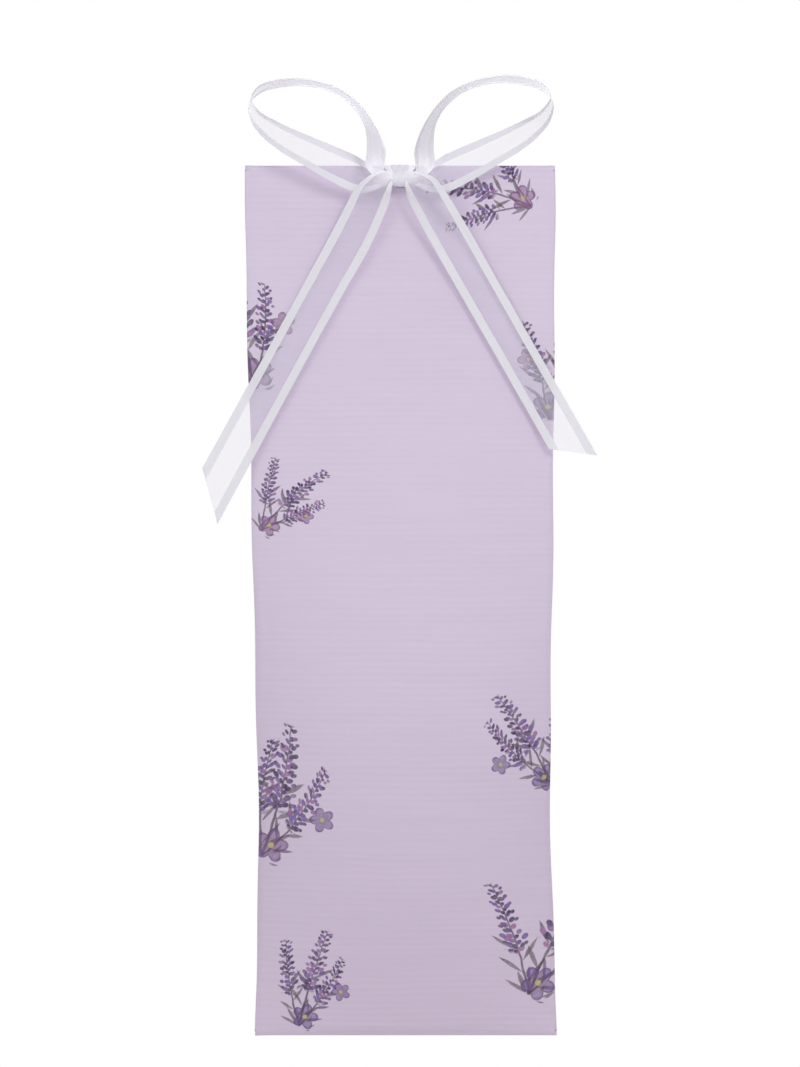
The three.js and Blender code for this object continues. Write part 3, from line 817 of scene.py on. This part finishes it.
def ribbon_mesh(name, grid, gather, pleats=0, pleat_height=0.0, places=ACROSS, dense=None):
    """A ribbon through a grid of points, a row for each place along it, with pleats where it is gathered.

    Gather tells how many times closer its threads lie on each row, and dense how many times more of them it is
    looked at through."""
    if pleats:
        along = np.linspace(0, 1, len(grid))[:, None]
        wave = np.sin(2 * np.pi * pleats * (places[None] + 0.04 * np.sin(9 * along)) + 0.6)
        height = pleat_height * smooth(gather, 1.02, 1.8)[:, None] * np.sin(np.pi * places[None]) ** 0.3
        grid = grid + normals_of(grid) * (height * wave)[..., None]
    edge = np.minimum(places, 1 - places)
    thick = np.where(edge < SATIN / RIBBON - 0.005, SATIN_THICK, WEB_THICK)
    thick[[0, -1]] = SATIN_THICK * 0.6
    half = normals_of(grid) * thick[None, :, None] / 2
    run = knots_between(grid[:, 0], grid[:, -1]) / RIBBON
    rows, cols = grid.shape[:2]
    corners = np.concatenate([(grid + half).reshape(-1, 3), (grid - half).reshape(-1, 3)])
    back = rows * cols
    number = np.arange(back).reshape(rows, cols)
    front_faces = np.stack([number[:-1, :-1], number[1:, :-1], number[1:, 1:], number[:-1, 1:]], -1).reshape(-1, 4)
    faces = [*front_faces.tolist(), *(front_faces[:, ::-1] + back).tolist()]
    ring = [*number[:, 0], *number[-1, 1:], *number[-2::-1, -1], *number[0, -2:0:-1]]
    for k, first in enumerate(ring):
        second = ring[(k + 1) % len(ring)]
        faces.append([int(second), int(first), int(first) + back, int(second) + back])
    obj = make_object(name, corners, faces)
    uv = np.stack(np.broadcast_arrays(places[None, :], run[:, None]), -1).reshape(-1, 2)
    uv = np.concatenate([uv, uv])
    layer = obj.data.uv_layers.new(name="ribbon")
    layer.data.foreach_set("uv", uv[corner_numbers(obj.data)].astype(np.float32).ravel())
    if dense is None:
        dense = 1 + BUNCHED * (gather - 1)
    for attribute, rows_of in (("gather", gather), ("dense", dense)):
        values = obj.data.attributes.new(attribute, "FLOAT", "POINT")
        values.data.foreach_set("value", np.tile(np.repeat(rows_of, cols), 2).astype(np.float32))
    obj.data.update()
    return obj


# Edges of a loop in shares of its size, nearer and farther, from the knot round and back: out and up
LOOP_NEAR = ((0.22, 0.28), (0.237, 0.55), (0.38, 0.805), (0.6, 0.915), (0.79, 0.905), (0.925, 0.845),
             (0.995, 0.745), (0.985, 0.6), (0.915, 0.45), (0.8, 0.31), (0.65, 0.178), (0.478, 0.03),
             (0.3, -0.09))
LOOP_FAR = ((0.093, 0.275), (0.165, 0.56), (0.34, 0.85), (0.59, 0.985), (0.8, 0.985), (0.94, 0.91),
            (0.98, 0.8), (0.925, 0.68), (0.8, 0.575), (0.68, 0.495), (0.545, 0.413), (0.375, 0.31),
            (0.267, 0.235))
LOOP_SIZES = {"left": (38.4, 26.5), "right": (38.9, 27.3)}
LOOP_WIDTHS = ([0, 1, 2, 10, 11, 12], [0.9, 0.98, 1, 1, 0.99, 0.92])  # at these points of an edge, in ribbon widths
LOOP_DEPTH = 2.3
LOOP_FORWARD = (0.0, -1.0, 0.4)  # the way its middle bows out, and how far at most
LOOP_ARCH = 0.7
LOOP_ROWS = 110
UPPER_STARTS, UPPER_ENDS = (0.06, 0.12), (0.44, 0.54)  # where along a loop its upper band begins and ends
# Where each band runs on into the knot: out, y, up
UPPER_NEAR = ((0.9, -3.9, 0.9), (3.2, -4.2, 0.9), (6.8, -4.7, 1.9), (8.7, -5.4, 4.2))
UPPER_FAR = ((0.8, -3.3, 1.6), (2.6, -2.9, 2.1), (4, -2.1, 3.1), (3.85, -0.8, 5.2))
LOWER_NEAR = ((8.7, -4.2, -2.6), (5.6, -4.1, -1.6), (3.2, -4, -0.4), (0.9, -3.9, 0.5))
LOWER_FAR = ((7.6, -1.7, 4.5), (4.9, -2, 3), (2.8, -2.8, 2), (0.7, -3.4, 1.4))


def loop_piece(side, out):
    reach, rise = LOOP_SIZES[side]
    near = np.array([(x * reach, 0, z * rise) for x, z in LOOP_NEAR])
    far = np.array([(x * reach, 0, z * rise) for x, z in LOOP_FAR])
    gap = np.linalg.norm(near - far, axis=1)
    width = RIBBON * np.interp(np.arange(len(near)), *LOOP_WIDTHS)
    depth = np.sqrt(np.maximum(width**2 - gap**2, 0))
    near[:, 1], far[:, 1] = -LOOP_DEPTH - depth / 2, -LOOP_DEPTH + depth / 2
    near = np.vstack([UPPER_NEAR, near, LOWER_NEAR])
    far = np.vstack([UPPER_FAR, far, LOWER_FAR])
    places = np.linspace(0, 1, LOOP_ROWS + 1)
    knots = knots_between(near, far)
    near, far = in_place(catmull(near, places, knots)), in_place(catmull(far, places, knots))
    near[:, 0] *= out
    far[:, 0] *= out
    points, gather = arched(near, far, LOOP_FORWARD, LOOP_ARCH)
    upper = smooth(places, *UPPER_STARTS) * (1 - smooth(places, *UPPER_ENDS))
    dense = 1 + BUNCHED * (gather - 1) + BAND_TILT * upper
    return ribbon_mesh(f"{side}_bow_loop", points, gather, 3, 0.12, dense=dense)


# Edges of the tails, outer first: out and up, from under the knot to the cut end
TAIL_OUTER = {
    "left": ((0.8, 2), (2.4, 2.7), (5.7, 2.7), (9.4, 0.5), (11.6, -1.9), (12.9, -4.2), (13.9, -6.1), (15.1, -8.4),
             (23.5, -23.9), (38.6, -51.4), (50.07, -72.2)),
    "right": ((0.8, 2), (2.4, 2.7), (5.3, 2.5), (8.6, 1.3), (11.2, -1.7), (12.8, -4.2), (14, -6.2), (15.5, -8.6),
              (24.2, -23.8), (37.3, -46.8), (49.97, -69.03)),
}
TAIL_INNER = {
    "left": ((0.6, 0.9), (1.4, 0.4), (1.9, -0.5), (2.2, -2.3), (2.5, -4), (3.1, -6), (4.4, -9.2), (6.1, -13.1),
             (14.7, -28.7), (29.9, -56.5), (46.15, -86.36)),
    "right": ((0.6, 0.9), (1, 0.2), (1.3, -0.9), (1.7, -2.8), (2.2, -4.6), (3.2, -6.6), (4.8, -9.6), (6.4, -12.6),
              (15.5, -28.6), (27, -48.7), (37.68, -67.38)),
}
TAIL_DEPTHS = (-4.2, -4.5, -4.9, -5, -4.7, -4.4, -4.1, -3.8, -3.4, -3.2, -3)
TAIL_ARCH = (0.5, 0.9, 1.7, 2, 2, 2, 2, 2, 2, 2, 2)  # how far the middle may stand in front of the edges
TAIL_ROWS = 150
TAIL_CROWDING = 1.5  # above 1, its rows lie closer together near the knot
TAIL_CLEAR = 0.55  # from the paper
TAIL_Y = -2.1  # where no paper is behind it
TAIL_EVEN = 6  # rows to each side over which its height is evened out
INNER_LIFT = 0.9
OUTER_SETTLES, INNER_SETTLES = (3, 22), (6, 32)  # how far down an edge starts and ends settling on the paper
TAIL_WAVER = 0.22


def tail_piece(side, out):
    edges = []
    for edge in (TAIL_OUTER[side], TAIL_INNER[side]):
        edges.append(np.array([(x, y, z) for (x, z), y in zip(edge, TAIL_DEPTHS)], float))
    knots = knots_between(*edges)
    places = np.linspace(0, 1, TAIL_ROWS + 1) ** TAIL_CROWDING
    rows = [in_place(catmull(edge, places, knots)) for edge in edges]
    window = np.ones(2 * TAIL_EVEN + 1) / (2 * TAIL_EVEN + 1)
    for edge, lift, settles in zip(rows, (0, INNER_LIFT), (OUTER_SETTLES, INNER_SETTLES)):
        x, z = edge[:, 0] * out - lean(edge[:, 2]), edge[:, 2]
        lie = front_face(x, z) - PAPER / 2 - TAIL_CLEAR
        close = np.where(np.abs(x) < half_width(z), np.minimum(lie, TAIL_Y), TAIL_Y)
        close = np.convolve(np.pad(close, TAIL_EVEN, mode="edge"), window, "valid")
        settle = smooth(-z, *settles)
        edge[:, 1] = edge[:, 1] * (1 - settle) + (close - lift) * settle
        edge[:, 0] *= out
    limit = np.interp(places * knots[-1], knots, TAIL_ARCH)
    points, gather = arched(*rows, (0.0, -1.0, 0.0), limit)
    # A free ribbon isn't quite flat: its middle stands a little off the line between its edges, now more, now less
    along = places[:, None]
    waver = TAIL_WAVER * np.sin(11 * along + out) * smooth(along, 0.25, 0.5)
    points[..., 1] -= waver * np.sin(np.pi * ACROSS[None])
    return ribbon_mesh(f"{side}_bow_tail", points, gather, 3, 0.16)


# The strand round the top edge: its y and z, its widths, and how far it may arch at places along it
STRAND_ROUTE = ((-2.7, 1.6), (-1.9, 2.5), (-1.45, 3.4), (-0.9, 4.1), (0.35, 4.35), (1.4, 4.1), (1.95, 3.3),
                (1.95, 1.6), (2, 0.1), (1.9, -1.2), (1.1, -1.42), (0.1, -1.1), (-0.9, -0.9), (-1.8, -0.6),
                (-2.7, 0.3))
STRAND_WIDTHS = (4.4, 6.2, 7.8, 8.1, 8.2, 8.1, 7.6, 6.4, 5.0, 3.8, 2.2, 1.9, 1.9, 1.9, 2.2)
STRAND_ARCH = ((0, 0.2, 0.5, 0.62, 0.75, 1), (0.3, 0.12, 0.15, 0.3, 0.45, 0.6))
STRAND_ROWS = 72
STRAND_GATHER, KNOT_GATHER = 1.45, 1.5  # how many times closer than flat the threads lie
KNOT_Y, KNOT_Z = -3.85, 0.45
KNOT_RADIUS_Y, KNOT_RADIUS_Z = 1.65, 1.75


def strand_piece():
    """From the knot over the top edge, down the back, through the hole and out to the knot."""
    line = even([(0, y, z) for y, z in STRAND_ROUTE], STRAND_ROWS)
    places = np.linspace(0, 1, STRAND_ROWS + 1)
    reach = np.zeros_like(line)
    reach[:, 0] = np.interp(places, np.linspace(0, 1, len(STRAND_WIDTHS)), STRAND_WIDTHS) / 2
    near, far = line - reach, line + reach
    heading = np.gradient(line, axis=0)
    limit = np.interp(places, *STRAND_ARCH)
    outwards = np.stack([0 * line[:, 0], -heading[:, 2], heading[:, 1]], 1)
    points, gather = [], []
    for k in range(len(line)):
        row, close = arched(near[k:k + 1], far[k:k + 1], outwards[k], limit[k:k + 1])
        points.append(row[0])
        gather.append(close[0])
    gather = np.maximum(gather, STRAND_GATHER)
    return ribbon_mesh("ribbon_over_top_edge", np.array(points), gather, 5, 0.16, dense=gather * ROUND_EDGE_BUNCHED)


def knot_piece():
    """The stretch of ribbon drawn round the middle of the bow, waisted, with its edges rolled under."""
    flat, roll = 1.95, 0.26
    places = np.unique(np.concatenate([ACROSS, np.linspace(0, 1, 61)]))
    run = (places - 0.5) * RIBBON
    bend = np.clip((np.abs(run) - flat) / roll, 0, math.pi)
    under = np.maximum(np.abs(run) - flat - math.pi * roll, 0)
    sideways = np.sign(run) * (np.minimum(np.abs(run), flat) + roll * np.sin(bend) - 0.86 * under)
    inward = roll * (1 - np.cos(bend)) + 0.12 * (under > 0) * (run > 0)
    barrel = 0.22 * (1 - np.minimum((sideways / flat) ** 2, 1))
    angle = np.linspace(math.radians(-80), math.radians(272), 73)[:, None]
    crease = barrel[None] + 0.06 * np.cos(4.6 * sideways[None] + 0.9 * np.sin(angle)) * np.cos(bend / 2)[None]
    out_y, out_z = KNOT_RADIUS_Y - inward[None] + crease, KNOT_RADIUS_Z - inward[None] + crease
    points = np.stack([
        sideways[None] + 0.1 * np.sin(angle),
        KNOT_Y - out_y * np.sin(angle),
        KNOT_Z + out_z * np.cos(angle),
    ], -1)
    gather = np.full(len(angle), KNOT_GATHER)
    return ribbon_mesh("bow_knot", points, gather, places=places, dense=gather * KNOT_BUNCHED)


# Where a loop and a tail start and end turning with their joint: out, y, up. Below they are only worked out in
# metres and left unused
LOOP_BEND = ((9.3, -4.3, -3.36), (13.7, -4.3, 0.71))
TAIL_BEND = ((3.5, -4.9, 2.5), (6.7, -4.9, -3.4))

# Building the object
paper = envelope_paper()
paper.data.materials.append(paper_material())
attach(paper, "envelope")
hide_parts("envelope_sheet")

organza = organza_material()
strand = strand_piece()
knot = knot_piece()
for piece, node in ((strand, "ribbon_through_strand"), (knot, "ribbon_knot")):
    piece.data.materials.append(organza)
    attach(piece, "envelope")
    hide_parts(node)
for side, out in (("left", -1), ("right", 1)):
    loop = loop_piece(side, out)
    tail = tail_piece(side, out)
    for piece, node, bend in ((loop, f"{side}_loop", LOOP_BEND), (tail, f"{side}_tail", TAIL_BEND)):
        piece.data.materials.append(organza)
        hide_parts(node)
        start, end = [(out * x * MM, y * MM, z * MM) for x, y, z in bend]
        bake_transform(piece)

glue = glue_material()
inner_materials = {
    "back_seam_glue": glue,
    "top_flap_glue": glue,
    "bottom_flap_glue": glue,
    "scented_granules": granule_material(),
}
for node, material in inner_materials.items():
    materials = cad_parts[node].data.materials
    materials.clear()
    materials.append(material)

# Floor
FLOOR_Z = -0.262
FLOOR_SIZE = 6
SHADOW_RADIUS, WHITE_RADIUS = 0.1, 0.22  # the floor is itself within the first and plain white beyond the second
bpy.ops.mesh.primitive_grid_add(x_subdivisions=8, y_subdivisions=8, size=FLOOR_SIZE, location=(0, 0, FLOOR_Z))
floor = bpy.context.object
floor.name = "studio_floor"
material, d, shader = new_material("studio_floor")
where = d.new("ShaderNodeTexCoord").outputs["Object"]
x, y, _ = d.axes(where)
distance = (x * x + y * y).math("SQRT")
d.put(d.mix(d.noise(where, 60.0), (0.94, 0.94, 0.945, 1), (0.96, 0.96, 0.965, 1)), shader.inputs["Base Color"])
shader.inputs["Roughness"].default_value = 0.85
white = d.new("ShaderNodeEmission", {"Strength": 1.0})
blend = d.new("ShaderNodeMixShader", {0: d.seen_directly() * distance.rise(SHADOW_RADIUS, WHITE_RADIUS)})
d.put(shader.outputs[0], blend.inputs[1])
d.put(white.outputs[0], blend.inputs[2])
d.put(blend.outputs[0], d.tree.nodes["Material Output"].inputs["Surface"])
floor.data.materials.append(material)

# World and lamps
SOFT_LIGHT, SOFT_LIGHT_UP = 0.415, 0.1  # level with the object, and how much stronger from straight above
world = bpy.data.worlds.new("studio")
scene.world = world
world.use_nodes = True
d = Drawing(world.node_tree)
seen = d.seen_directly()
background = world.node_tree.nodes["Background"]
background.inputs["Color"].default_value = (1, 1, 1, 1)
_, _, up = d.axes(d.new("ShaderNodeTexCoord").outputs["Generated"])
d.put(seen + seen.flip() * (up * SOFT_LIGHT_UP + SOFT_LIGHT), background.inputs["Strength"])
AIM = np.array([0, 0, -0.08])


def lamp(name, place, size, power):
    """A round lamp at a place in metres, turned towards the object."""
    data = bpy.data.lights.new(name, "AREA")
    data.shape = "DISK"
    data.size = size
    data.energy = power
    obj = bpy.data.objects.new(name, data)
    scene.collection.objects.link(obj)
    obj.location = place
    x, y, z = AIM - np.array(place)
    yaw, pitch = math.atan2(y, x), math.atan2(z, math.hypot(x, y))
    obj.rotation_euler = (pitch + math.pi / 2, 0, yaw - math.pi / 2)


lamp("key", (0.54, -0.9, 0.7), 0.42, 5.15)
lamp("fill", (-0.9, -0.8, 0.15), 0.7, 2.3)
lamp("top", (0.1, 0.15, 1.0), 0.6, 0.2)
lamp("back", (0.2, 0.9, 0.4), 0.7, 2.6)

# Camera
LENS, SENSOR = 110, 36
PICTURE_ROWS = 1067
MM_PER_ROW = 0.25287  # at y = 0
CAMERA_Z = -88.76
camera_data = bpy.data.cameras.new("camera")
camera_data.lens = LENS
camera_data.sensor_width = SENSOR
camera_data.clip_end = 20
camera = bpy.data.objects.new("camera", camera_data)
scene.collection.objects.link(camera)
camera.location = (0, -PICTURE_ROWS * MM_PER_ROW * MM * LENS / SENSOR, CAMERA_Z * MM)
camera.rotation_euler = (math.pi / 2, 0, 0)
scene.camera = camera
